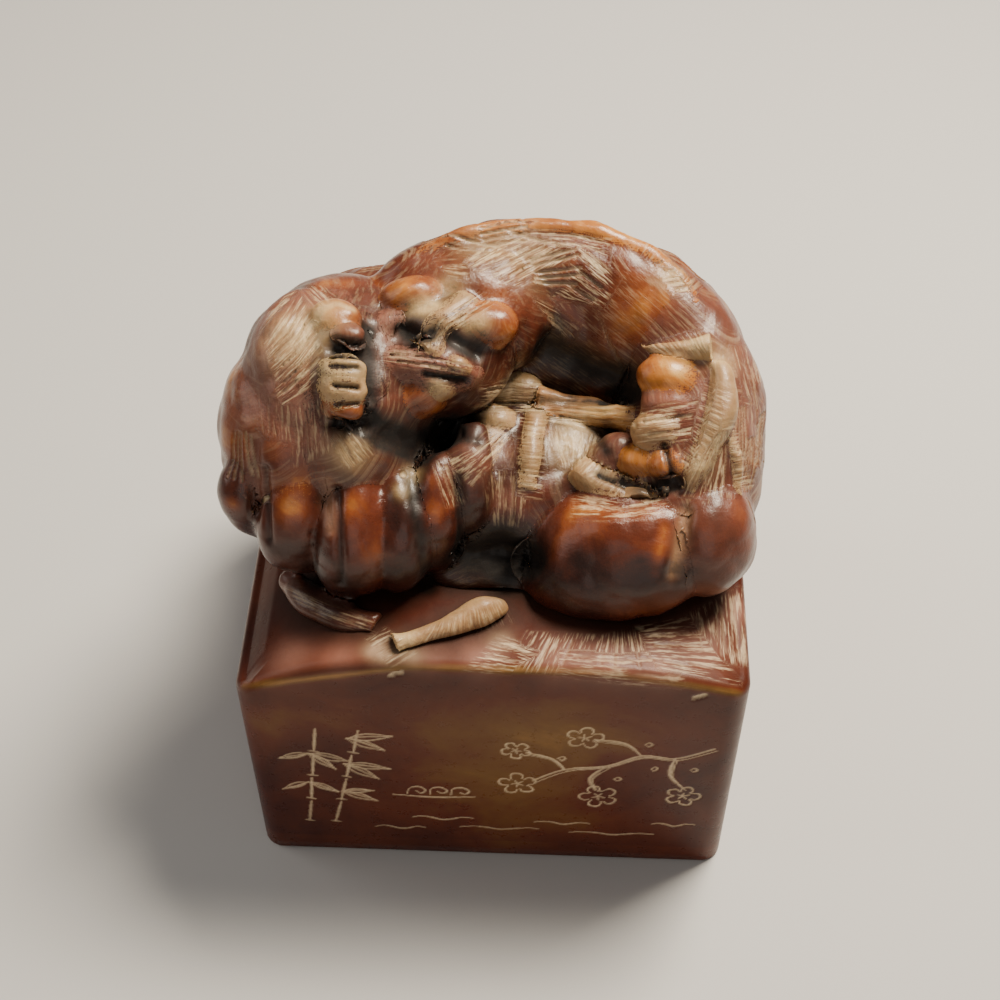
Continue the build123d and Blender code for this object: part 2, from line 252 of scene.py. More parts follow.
plain = {"swell": 0.3, "voxel": 0.22, "soften": 2, "finish": "beast"}
toe = {**plain, "voxel": 0.18, "warm": -0.05, "hatch": 0}
fine = {**plain, "voxel": 0.18}
pale = {**fine, "cream": 0.55, "warm": 0.2}
flatter = {**pale, "swell": -0.1}
# warm raises a form towards amber and lowers it towards dark brown: the stone's own tone, with painted highlights and
# painted shade
formLooks = {
    "left_body": {**plain, "chalk": 0.2, "warm": -0.15, "hatch": 0.15},
    "left_mane": {**plain, "voxel": 0.18, "chalk": 0.55},
    "left_head": {**plain, "voxel": 0.18, "warm": -0.2}, "left_shoulder": {**plain, "warm": 0.2, "chalk": 0.05},
    "left_haunch": {**plain, "chalk": 0.2, "hatch": 0.12},
    "left_eye": {**fine, "warm": 0.6}, "left_nose": {**fine, "warm": 0.1, "chalk": 0.4},
    "left_upper_lip": {**fine, "cream": 0.8}, "left_lower_lip": {**fine, "cream": 0.7, "warm": 0.3},
    "left_chin": {**fine, "warm": 0.55}, "left_foreleg": {**fine, "swell": -0.05, "cream": 0.5, "chalk": 0.6},
    "left_tail": {**fine, "chalk": 0.1, "warm": -0.1, "hatch": 0.05},
    "left_toe_1": toe, "left_toe_2": toe, "left_toe_3": toe, "left_toe_4": {**toe, "warm": -0.2},
    "left_toe_5": toe, "left_toe_6": {**toe, "warm": -0.15},
    "right_head": {**plain, "voxel": 0.18, "warm": -0.15}, "right_neck": {**plain, "warm": 0.15},
    "right_back": {**plain, "warm": 0.15, "hatch": 0.25},
    "right_flank": {**plain, "chalk": 0.3, "warm": 0.05, "hatch": 0.26},
    "right_outer_brow": {**fine, "warm": 0.5}, "right_inner_brow": {**fine, "warm": 0.5},
    "right_cheek": {**fine, "chalk": 0.9}, "right_nose": pale, "right_muzzle": {**fine, "chalk": 0.8},
    "right_jaw": {**fine, "warm": 0.45}, "right_upper_tooth": pale, "right_lower_tooth": pale, "right_ear": flatter,
    "right_long_lock": flatter, "right_side_lock": flatter, "right_spine": {**fine, "warm": 0.7, "swell": 0.1},
    "right_shoulder": {**fine, "warm": 0.6}, "right_elbow": {**fine, "warm": 0.3, "chalk": 0.6},
    "right_forearm": flatter, "right_paw": {**fine, "chalk": 0.5, "warm": -0.1},
    "right_claw_1": {**fine, "warm": 0.7}, "right_claw_2": {**fine, "warm": 0.6}, "paw_ledge": flatter,
    "right_thigh": {**plain, "hatch": 0}, "right_haunch": {**plain, "warm": 0.05, "chalk": 0.2, "hatch": 0},
    "right_tail": flatter, "knob_core": {**plain, "warm": -0.15}, "crossbar": {**pale, "warm": 0.95, "cream": 0.3},
    "upright": flatter, "tuft": flatter, "lower_tuft": pale,
}
pieces = {}
for node, look in formLooks.items():
    words = node.split("_")
    pieces[node] = roughOut(node, words[0] + "".join(word.title() for word in words[1:]) + "Carved", look)
print("forms roughed out:", len(pieces))


def vertexArrays(mesh):
    count = len(mesh.vertices)
    spots, normals = np.empty(count * 3, np.float32), np.empty(count * 3, np.float32)
    mesh.vertices.foreach_get("co", spots)
    mesh.vertices.foreach_get("normal", normals)
    return spots.reshape(-1, 3), normals.reshape(-1, 3)


# one skin over all the forms, as one stone has: it rounds the joins, and the forms are drawn to it
stoneSkin = {
    "voxel": 0.27, "soften": 9, "lumps": 0.6, "lumpSize": 6.0, "facets": 0.55, "facetSize": 4.2,
    "reach": 1.3, "facing": 0.35}
bpy.ops.object.select_all(action="DESELECT")
for piece in pieces.values():
    piece.select_set(True)
bpy.context.view_layer.objects.active = pieces["knob_core"]
bpy.ops.object.duplicate()
bpy.ops.object.join()
skin = bpy.context.object
skin.name = "stoneSkin"
addModifier(skin, "REMESH", mode="VOXEL", voxel_size=stoneSkin["voxel"] / 1000)
addModifier(skin, "SMOOTH", factor=0.5, iterations=stoneSkin["soften"])
for name, kind, size, strength, middle in (
        ("handLumps", "CLOUDS", stoneSkin["lumpSize"], stoneSkin["lumps"], 0.5),
        ("knifeFacets", "VORONOI", stoneSkin["facetSize"], -stoneSkin["facets"], 0.4)):
    texture = bpy.data.textures.new(name, kind)
    texture.noise_scale = size / 1000
    addModifier(skin, "DISPLACE", strength=strength / 1000, mid_level=middle, texture=texture, texture_coords="LOCAL")
addModifier(skin, "SMOOTH", factor=0.5, iterations=2)
skinTree = BVHTree.FromObject(skin, bpy.context.evaluated_depsgraph_get())
for piece in pieces.values():
    spots, normals = vertexArrays(piece.data)
    for index in range(len(spots)):
        found = skinTree.find_nearest(spots[index], stoneSkin["reach"] / 1000)
        if found[0] is None:
            continue
        proud = (Vector(spots[index]) - found[0]).dot(found[1]) > 0
        if proud or found[1].dot(Vector(normals[index])) > stoneSkin["facing"]:
            spots[index] = found[0]
    piece.data.vertices.foreach_set("co", spots.ravel())
    piece.data.update()
print("joins rounded")

# how deep each place lies, from rays sent out of the skin; this sets the painted shade in the hollows further down
probe = {
    "grid": 0.0006, "rays": 18, "spread": 0.9, "goldenTurn": 2.399963, "lift": 0.0003, "reach": 0.009,
    "farFade": 0.4, "shelfLevel": 0.0285, "shelfShut": 0.8}
addModifier(skin, "REMESH", mode="VOXEL", voxel_size=probe["grid"])
feelers = []
for number in range(probe["rays"]):
    up = 1 - (number + 0.5) / probe["rays"] * probe["spread"]
    turn = number * probe["goldenTurn"]
    flat = math.sqrt(1 - up * up)
    feelers.append((flat * math.cos(turn), flat * math.sin(turn), up))
skinTree = BVHTree.FromObject(skin, bpy.context.evaluated_depsgraph_get())
depthSpots = KDTree(len(skin.data.vertices))
depths = []
for vertex in skin.data.vertices:
    lean = vertex.normal.to_track_quat("Z", "Y")
    start = vertex.co + vertex.normal * probe["lift"]
    shut = 0
    for feeler in feelers:
        way = lean @ Vector(feeler)
        hit = skinTree.ray_cast(start, way, probe["reach"])
        if hit[0] is not None:
            shut += 1 - probe["farFade"] * hit[3] / probe["reach"]
        elif way.z < -0.05 and (probe["shelfLevel"] - start.z) / way.z < probe["reach"]:
            shut += probe["shelfShut"]
    depthSpots.insert(vertex.co, vertex.index)
    depths.append(shut / probe["rays"])
depthSpots.balance()
bpy.data.objects.remove(skin, do_unlink=True)
print("hollows measured:", round(min(depths), 2), round(sum(depths) / len(depths), 2), round(max(depths), 2))


# the block: its outline, walked round from the front left corner
block = {"half": 25.0, "corner": 2.2, "cornerSteps": 12, "frontStep": 0.15, "sideStep": 0.5, "backStep": 0.8}
shelfSteps = {"frontStep": 0.2, "sideStep": 0.25, "backStep": 0.35}


def blockOutline(steps):
    flat = block["half"] - block["corner"]
    walk = []
    sides = [
        (0, -1, steps["frontStep"]), (1, 0, steps["sideStep"]),
        (0, 1, steps["backStep"]), (-1, 0, steps["sideStep"])]
    for outX, outY, step in sides:
        count = round(2 * flat / step)
        for number in range(count):
            along = -flat + 2 * flat * number / count
            walk.append((outX * block["half"] - outY * along, outY * block["half"] + outX * along, outX, outY))
        start = math.atan2(outY, outX)
        middleX, middleY = outX * flat - outY * flat, outY * flat + outX * flat
        for number in range(block["cornerSteps"]):
            angle = start + math.pi / 2 * number / block["cornerSteps"]
            ways = (math.cos(angle), math.sin(angle))
            walk.append((middleX + block["corner"] * ways[0], middleY + block["corner"] * ways[1], *ways))
    return np.array(walk)


def skinLoops(name, loops, node, finish):
    count = len(loops[0])
    spots = np.concatenate(loops) / 1000
    faces = [
        (row * count + index, row * count + (index + 1) % count,
         (row + 1) * count + (index + 1) % count, (row + 1) * count + index)
        for row in range(len(loops) - 1) for index in range(count)]
    faces.append(tuple(range(count))[::-1])
    faces.append(tuple(range((len(loops) - 1) * count, len(loops) * count)))
    mesh = bpy.data.meshes.new(name)
    mesh.from_pydata(spots.tolist(), [], faces)
    mesh.update()
    piece = bpy.data.objects.new(name, mesh)
    bpy.context.scene.collection.objects.link(piece)
    pick(piece)
    bpy.ops.object.shade_smooth_by_angle(angle=math.radians(50))
    mesh.materials.append(finishes[finish])
    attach(piece, "root")
    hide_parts(node)
    return piece


# the shelf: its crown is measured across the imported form, in tenths of a millimetre
shelf = {
    "bottom": 26.4, "edge": 1.0, "wallRows": 20, "edgeRows": 6, "topStep": 0.008, "topEnd": 0.42,
    "coarseStep": 0.06, "centre": 0.04, "edgeFade": 12, "measuredTo": 24.9, "above": 60}
outline = blockOutline(shelfSteps)
crownTree = BVHTree.FromObject(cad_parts["top_shelf"], bpy.context.evaluated_depsgraph_get())
crownLine = []
for index in range(-250, 251):
    across = max(-shelf["measuredTo"], min(shelf["measuredTo"], index / 10))
    hit = crownTree.ray_cast(Vector((across / 1000, 0, shelf["above"] / 1000)), Vector((0, 0, -1)))
    crownLine.append(hit[0].z * 1000)


def crown(across):
    return np.interp(across, np.linspace(-block["half"], block["half"], len(crownLine)), crownLine)


loops = []
tops = crown(outline[:, 0]) - shelf["edge"]
for row in range(shelf["wallRows"] + 1):
    share = row / shelf["wallRows"]
    loops.append(np.column_stack([outline[:, 0], outline[:, 1], shelf["bottom"] + (tops - shelf["bottom"]) * share]))
for row in range(1, shelf["edgeRows"] + 1):
    angle = math.pi / 2 * row / shelf["edgeRows"]
    inset = shelf["edge"] * (1 - math.cos(angle))
    x, y = outline[:, 0] - outline[:, 2] * inset, outline[:, 1] - outline[:, 3] * inset
    loops.append(np.column_stack([x, y, tops + shelf["edge"] * math.sin(angle)]))
rim = loops[-1].copy()
share = 1 - shelf["topStep"]
while share > shelf["centre"]:
    x, y = rim[:, 0] * share, rim[:, 1] * share
    edgeLift = rim[:, 2] - crown(rim[:, 0])
    loops.append(np.column_stack([x, y, crown(x) + edgeLift * max(0, 1 - (1 - share) * shelf["edgeFade"])]))
    share -= shelf["topStep"] if share > shelf["topEnd"] else shelf["coarseStep"]
pieces["top_shelf"] = skinLoops("topShelfCarved", loops, "top_shelf", "block")
wall = {"low": 3.0, "high": 26.4, "rows": 150}
outline = blockOutline(block)
loops = []
for row in range(wall["rows"] + 1):
    height = wall["low"] + (wall["high"] - wall["low"]) * row / wall["rows"]
    loops.append(np.column_stack([outline[:, 0], outline[:, 1], np.full(len(outline), height)]))
pieces["seal_block"] = skinLoops("sealBlockPolished", loops, "seal_block", "block")
# the printing face: plain square ridges one inside the other, from the middle out and up to the block
stamp = {
    "edge": 0.3, "sink": 0.8, "draft": 0.15, "ridges": ((0, 2.2), (5.0, 7.2), (10.0, 12.2), (15.0, 17.2)),
    "centre": 22.0, "wallRow": 1.5}
profile = []      # distance in from the side, and height
for near, far in stamp["ridges"]:
    if near:
        profile.append((near - stamp["draft"], stamp["sink"]))
    profile += [(near if near else stamp["edge"], 0), (far, 0), (far + stamp["draft"], stamp["sink"])]
side = [(0, stamp["edge"]), (0, stamp["wallRow"]), (0, wall["low"])]
loops = []
for inset, height in [(stamp["centre"], stamp["sink"])] + profile[::-1] + side:
    share = 1 - inset / block["half"]
    loops.append(np.column_stack([outline[:, 0] * share, outline[:, 1] * share, np.full(len(outline), float(height))]))
pieces["printing_face"] = skinLoops("printingFaceCut", loops, "printing_face", "block")
print("block made")


# carving: strokes push the surface in and leave it pale
jobs = {}
depsgraph = bpy.context.evaluated_depsgraph_get()
for node, piece in pieces.items():
    spots, normals = vertexArrays(piece.data)
    spots = spots.astype(float) * 1000
    jobs[node] = {
        "piece": piece, "spots": spots, "normals": normals.astype(float),
        "low": spots.min(0), "high": spots.max(0), "tree": BVHTree.FromObject(piece, depsgraph)}
    for channel in ("sink", "press") + paintChannels:
        jobs[node][channel] = np.zeros(len(spots))
    for channel in ("warm", "chalk", "cream"):
        jobs[node][channel] += formLooks.get(node, {}).get(channel, 0)
    if node in formLooks:
        around = np.arctan2(spots[:, 1], spots[:, 0])
        jobs[node]["hatch"] += formLooks[node].get("hatch", 0.1)
        jobs[node]["combAcross"] += np.hypot(spots[:, 0], spots[:, 1]) * 0.7 + spots[:, 2] + 0.8 * np.sin(around * 5)
        jobs[node]["combAlong"] += around * 18
print("vertices:", sum(len(job["spots"]) for job in jobs.values()))


def seenAt(across, down):
    start, way = pixelRay(across, down)
    best = None
    for job in jobs.values():
        hit = job["tree"].ray_cast(start, way)
        if hit[0] is not None and (best is None or hit[3] < best[0]):
            best = (hit[3], hit[0])
    return None if best is None else np.array(best[1]) * 1000


def within(job, low, high):
    # the vertices of a piece that lie inside a box
    if (job["low"] > high).any() or (job["high"] < low).any():
        return np.empty(0, int)
    return np.flatnonzero(((job["spots"] > low) & (job["spots"] < high)).all(axis=1))


def scratch(path, width, depth, pale):
    path = [np.array(point, float) for point in path]
    low, high = np.min(path, axis=0) - width, np.max(path, axis=0) + width
    for job in jobs.values():
        near = within(job, low, high)
        if not len(near):
            continue
        spots = job["spots"][near]
        best = np.full(len(near), 9.0)
        for first, second in zip(path, path[1:]):
            run = second - first
            along = np.clip(((spots - first) @ run) / max(run @ run, 1e-9), 0, 1)
            away = np.linalg.norm(spots - (first + along[:, None] * run), axis=1) / width
            best = np.minimum(best, away)
        groove = np.clip(1 - best * best, 0, 1)
        job["sink"][near] = np.maximum(job["sink"][near], groove * depth)
        job["cut"][near] = np.maximum(job["cut"][near], groove * pale)


def alongGuide(guide, share):
    steps = len(guide) - 1
    place = min(max(share, 0), 1) * steps
    index = min(int(place), steps - 1)
    part = place - index
    return tuple(guide[index][axis] + (guide[index + 1][axis] - guide[index][axis]) * part for axis in (0, 1))


def photoPlaces(spots):
    turn = np.array(camera.matrix_world.to_3x3())
    seen = (spots / 1000 - np.array(camera.matrix_world.translation)) @ turn
    middle, focal = viewpoint["middle"], viewpoint["focal"]
    return np.column_stack([middle - focal * seen[:, 0] / seen[:, 2], middle + focal * seen[:, 1] / seen[:, 2]])


# combing, in millimetres where it is a distance
combing = {
    "lanes": 24, "steps": 6, "margin": 0.8, "near": 1.3, "fade": 0.7, "batch": 4000, "apart": 31.7,
    "shake": 0.35, "jump": 2.5, "strokeWidth": 0.7, "strokeDepth": 0.7, "strokePale": 0.45}


def comb(guides, count, width, depth, pale):
    # the patch that the guides span gets fine lines, and a few deeper strokes are cut across it
    lanes, steps = combing["lanes"], combing["steps"] * (len(guides) - 1)
    grid = np.array([
        [alongGuide([alongGuide(guide, lane / lanes) for guide in guides], step / steps) for step in range(steps + 1)]
        for lane in range(lanes + 1)])
    marks = grid[::2].reshape(-1, 2)
    found = [seenAt(*mark) for mark in marks]
    solid = np.array([spot for spot in found if spot is not None])
    if len(solid) < 4:
        return
    rise, run = np.gradient(grid, 1 / lanes, axis=0), np.gradient(grid, 1 / steps, axis=1)
    wide = np.linalg.norm(np.diff(grid[:, steps // 2], axis=0), axis=1).sum() / viewpoint["perMillimetre"]
    long = np.linalg.norm(np.diff(grid[lanes // 2], axis=0), axis=1).sum() / viewpoint["perMillimetre"]
    low, high = solid.min(0) - combing["margin"], solid.max(0) + combing["margin"]
    flatGrid = grid.reshape(-1, 2)
    for job in jobs.values():
        near = within(job, low, high)
        for some in np.array_split(near, max(1, len(near) // combing["batch"])):
            if not len(some):
                continue
            apart = np.linalg.norm(job["spots"][some][:, None, :] - solid[None, :, :], axis=2).min(1)
            some = some[apart < combing["near"]]
            if not len(some):
                continue
            places = photoPlaces(job["spots"][some])
            closest = ((places[:, None, :] - flatGrid[None, :, :]) ** 2).sum(2).argmin(1)
            lane, step = closest // (steps + 1), closest % (steps + 1)
            offset = places - grid[lane, step]
            a, b = rise[lane, step], run[lane, step]
            size = a[:, 0] * b[:, 1] - a[:, 1] * b[:, 0]
            size = np.where(np.abs(size) < 1, 1, size)
            laneShare = lane / lanes + (offset[:, 0] * b[:, 1] - offset[:, 1] * b[:, 0]) / size
            stepShare = step / steps + (a[:, 0] * offset[:, 1] - a[:, 1] * offset[:, 0]) / size
            outside = np.maximum(
                np.maximum(-laneShare, laneShare - 1) * wide, np.maximum(-stepShare, stepShare - 1) * long)
            strength = pale * np.clip(1 - outside / combing["fade"], 0, 1)
            taken = strength > np.maximum(job["hatch"][some] - 0.15, 0.05)
            some, laneShare, stepShare, strength = some[taken], laneShare[taken], stepShare[taken], strength[taken]
            job["hatch"][some] = strength
            job["combAcross"][some] = laneShare * wide + combing["apart"] * len(guides) + count
            job["combAlong"][some] = stepShare * long
    deep = max(2, count // 3)
    for number in range(deep):
        share = (number + 0.5 + chance.uniform(-combing["shake"], combing["shake"])) / deep
        marks = [alongGuide(guide, share) for guide in guides]
        begin, end = chance.uniform(0, 0.15), 1 - chance.uniform(0, 0.25)
        path = []
        for step in range(steps + 1):
            spot = seenAt(*alongGuide(marks, begin + (end - begin) * step / steps))
            if spot is not None and (not path or np.linalg.norm(spot - path[-1]) < combing["jump"]):
                path.append(spot)
        if len(path) > 1:
            scratch(
                path, combing["strokeWidth"] * width * chance.uniform(0.75, 1.2),
                combing["strokeDepth"] * depth * chance.uniform(0.6, 1.2),
                combing["strokePale"] * pale * chance.uniform(0.5, 1))


def paint(channel, across, down, radius, amount):
    centre = seenAt(across, down)
    if centre is not None:
        paintAt(channel, centre, radius / viewpoint["perMillimetre"], amount)


def paintAt(channel, centre, radius, amount):
    for job in jobs.values():
        if (job["low"] > centre + 2 * radius).any() or (job["high"] < centre - 2 * radius).any():
            continue
        away = np.linalg.norm(job["spots"] - centre, axis=1) / radius
        job[channel] += amount * np.exp(-away * away)


def gouge(marks, width, depth, **tints):
    # a wide stroke that shapes: marks are places seen from the viewpoint, and tints are painted along it: dirt with
    # painted shade in the hollows, painted amber highlights on the ridges
    path = []
    for first, second in zip(marks, marks[1:]):
        steps = 2 + int(math.dist(first, second) / 3)
        for step in range(steps + 1):
            spot = seenAt(*alongGuide([first, second], step / steps))
            if spot is not None:
                path.append(spot)
    if not path:
        return
    path = np.array(path)
    low, high = path.min(0) - 2 * width, path.max(0) + 2 * width
    for job in jobs.values():
        near = within(job, low, high)
        if len(near):
            away = np.linalg.norm(job["spots"][near][:, None, :] - path[None, :, :], axis=2).min(1) / width
            fade = np.exp(-away * away * 1.6)
            job["press"][near] += fade * depth
            for channel, amount in tints.items():
                job[channel][near] += fade * amount


# hollows and ridges, in the order they were cut
# these gouges also lay dirt and painted shade in the hollows, and painted amber highlights along a few ridges
gouge([(335, 348), (362, 350)], 1.3, 1.1, grime=1.3)      # between the left eye and lips
gouge([(334, 386), (358, 388)], 0.35, 0.5, grime=1.0)
gouge([(315, 322), (321, 309), (336, 303), (354, 309)], 0.45, 0.1, cream=0.9)
gouge([(375, 428), (420, 438), (458, 428)], 2.0, 0.3, grime=0.9)
gouge([(330, 366), (358, 368)], 0.4, 0.35, grime=0.9)
gouge([(336, 405), (358, 404)], 0.3, 0.3, grime=0.7)
gouge([(336, 424), (362, 428)], 1.1, 0.9, grime=1.3)
gouge([(369, 330), (369, 425)], 1.1, 0.45, grime=1.6)      # the gap between the two heads
gouge([(404, 330), (415, 336), (430, 332)], 1.4, 1.0, grime=1.6)   # right head's eye sockets
gouge([(456, 340), (478, 352)], 1.1, 0.8, grime=1.6)
gouge([(426, 375), (466, 381)], 0.5, 0.6, grime=1.2)      # under the muzzle
gouge([(395, 300), (404, 290)], 1.0, -0.2, warm=0.3)
gouge([(415, 308), (436, 306)], 1.1, 0.1, cream=0.7)
gouge([(470, 325), (484, 318)], 0.9, 0.0, cream=0.6)
gouge([(254, 442), (256, 512)], 0.9, 0.5, chalk=0.5, warm=-0.2)    # grooves between the toes
gouge([(265, 470), (268, 540)], 0.6, 0.45, grime=0.55)
gouge([(327, 482), (329, 530)], 0.8, 0.25, chalk=0.8, cream=0.15)
gouge([(337, 490), (341, 585)], 0.6, 0.45, grime=0.55)
gouge([(412, 480), (428, 588)], 1.0, 0.35, grime=0.5, warm=-0.4)
gouge([(458, 480), (462, 540)], 0.8, 0.3, grime=0.8)
gouge([(470, 560), (500, 560), (528, 560)], 2.6, 1.4, grime=1.4, warm=-0.4)    # the cave under the knob
gouge([(500, 540), (505, 575)], 2.2, 0.8, grime=1.4, warm=-0.4)
gouge([(540, 400), (600, 400), (640, 395)], 1.3, 0.5, grime=0.8)
gouge([(545, 345), (590, 370), (630, 380)], 2.2, 0.6, grime=1.0, warm=-0.5)
gouge([(440, 430), (480, 440)], 1.2, 0.5, grime=0.8)
gouge([(385, 440), (420, 455), (440, 440)], 1.6, 0.5, grime=1.2)
gouge([(602, 472), (640, 490), (676, 484)], 1.0, 0.9, grime=1.5)   # under the claws
gouge([(598, 440), (606, 452)], 0.9, 0.2, grime=0.9)
gouge([(664, 446), (672, 476)], 0.45, 0.5, grime=0.9)
gouge([(580, 560), (640, 575), (690, 580)], 2.2, 0.2, grime=0.3, warm=-0.3)
gouge([(664, 530), (656, 572)], 0.8, 0.1, warm=0.5)
gouge([(686, 512), (676, 575)], 0.9, 0.5, chalk=0.7, cream=0.3)
gouge([(575, 508), (620, 514), (660, 512)], 1.2, -0.1, warm=0.5)
gouge([(570, 520), (556, 560)], 1.6, 0.0, warm=0.45)
# painted highlights: amber glows on the toes, the tops and the left edge, over the stone's own amber
for across, down, radius, amount in (
        (292, 506, 16, 0.75), (300, 484, 12, 0.3), (233, 504, 9, 0.6), (351, 504, 12, 0.6), (378, 556, 14, 0.4),
        (435, 512, 12, 0.5), (431, 480, 8, 0.4), (590, 530, 22, 0.3), (674, 363, 16, 0.5), (620, 330, 26, 0.4),
        (655, 300, 22, 0.5), (248, 325, 20, 0.6), (230, 375, 20, 0.6), (224, 435, 16, 0.35), (290, 290, 16, 0.8),
        (325, 283, 16, 0.6), (345, 283, 12, 0.4), (740, 510, 18, 0.3), (500, 300, 20, 0.2)):
    paint("warm", across, down, radius, amount)
# painted shade: the undersides of the toes and the knob, and the shelf under the knob, are darkened as in shadow
for across, down, radius, amount in (      # the undersides lie dark
        (245, 535, 14, 0.4), (282, 552, 18, 0.5), (315, 565, 16, 0.5), (345, 582, 18, 0.5), (400, 572, 18, 0.5),
        (434, 565, 16, 0.5), (600, 600, 24, 0.35), (660, 598, 22, 0.35), (556, 590, 18, 0.45), (720, 580, 18, 0.3)):
    paint("grime", across, down, radius, amount)
for x, z, radius, amount in (      # an olive middle and darker ends on the front
        (1, 25, 8, 0.42), (-7, 24, 5, 0.3), (9, 23, 6, 0.35), (0, 15, 8, 0.3), (3, 8, 7, 0.25),
        (-6, 10, 6, 0.18), (-22, 25, 3.5, 0.5), (-15, 26, 3, 0.25), (10, 8, 5, 0.12), (23, 14, 4, -0.15),
        (-24, 12, 4, -0.2), (15, 24, 4, 0.15), (-13, 8, 4, 0.1)):
    paintAt("warm", np.array((x, -block["half"], z)), radius, amount)
# painted highlight: an orange band of light along the worn, rounded top edge of the front
for across in range(242, 746, 4):      # the worn orange edge
    edge = np.interp(across, (240, 412, 602, 746), (684, 664, 670, 692))
    paint("warm", across, edge + 3, 5, 0.38)
for across, down, radius, amount in (
        (350, 452, 18, 0.8), (295, 338, 30, 0.75), (320, 310, 22, 0.5), (520, 255, 32, 0.35), (480, 250, 24, 0.3),
        (570, 445, 22, 0.8), (580, 425, 16, 0.5), (705, 345, 16, 0.7), (725, 360, 14, 0.6), (400, 640, 14, 0.8),
        (412, 474, 9, 0.7), (402, 490, 8, 0.6), (672, 277, 14, 0.8), (705, 465, 16, 0.4), (426, 306, 11, 0.8),
        (480, 325, 11, 0.5), (438, 387, 9, 0.9), (450, 285, 14, 0.5), (500, 640, 12, 0.6), (385, 655, 12, 0.8),
        (374, 648, 11, 0.9), (412, 656, 11, 0.8)):
    paint("cream", across, down, radius, amount)
for across, down, radius, amount in (
        (560, 660, 26, 0.5), (610, 665, 26, 0.5), (700, 640, 30, 0.6), (735, 610, 18, 0.6), (660, 665, 22, 0.5),
        (480, 655, 22, 0.6), (430, 655, 18, 0.5), (290, 655, 24, 0.5), (340, 655, 22, 0.45), (740, 360, 30, 0.5),
        (750, 420, 30, 0.5), (310, 440, 26, 0.7), (270, 420, 24, 0.4), (470, 460, 24, 0.7), (500, 450, 16, 0.6),
        (505, 500, 16, 0.5), (388, 335, 12, 0.9), (300, 300, 26, 0.4), (560, 300, 20, 0.2), (715, 400, 20, 0.5),
        (430, 270, 24, 0.3), (248, 325, 22, -0.5), (230, 380, 24, -0.5), (300, 288, 18, -0.5)):
    paint("chalk", across, down, radius, amount)
for x in range(-24, 25, 3):      # the front is polished right up to its edge
    paintAt("chalk", np.array((x, -block["half"], 24)), 2.5, -0.5)
print("hollows shaped")

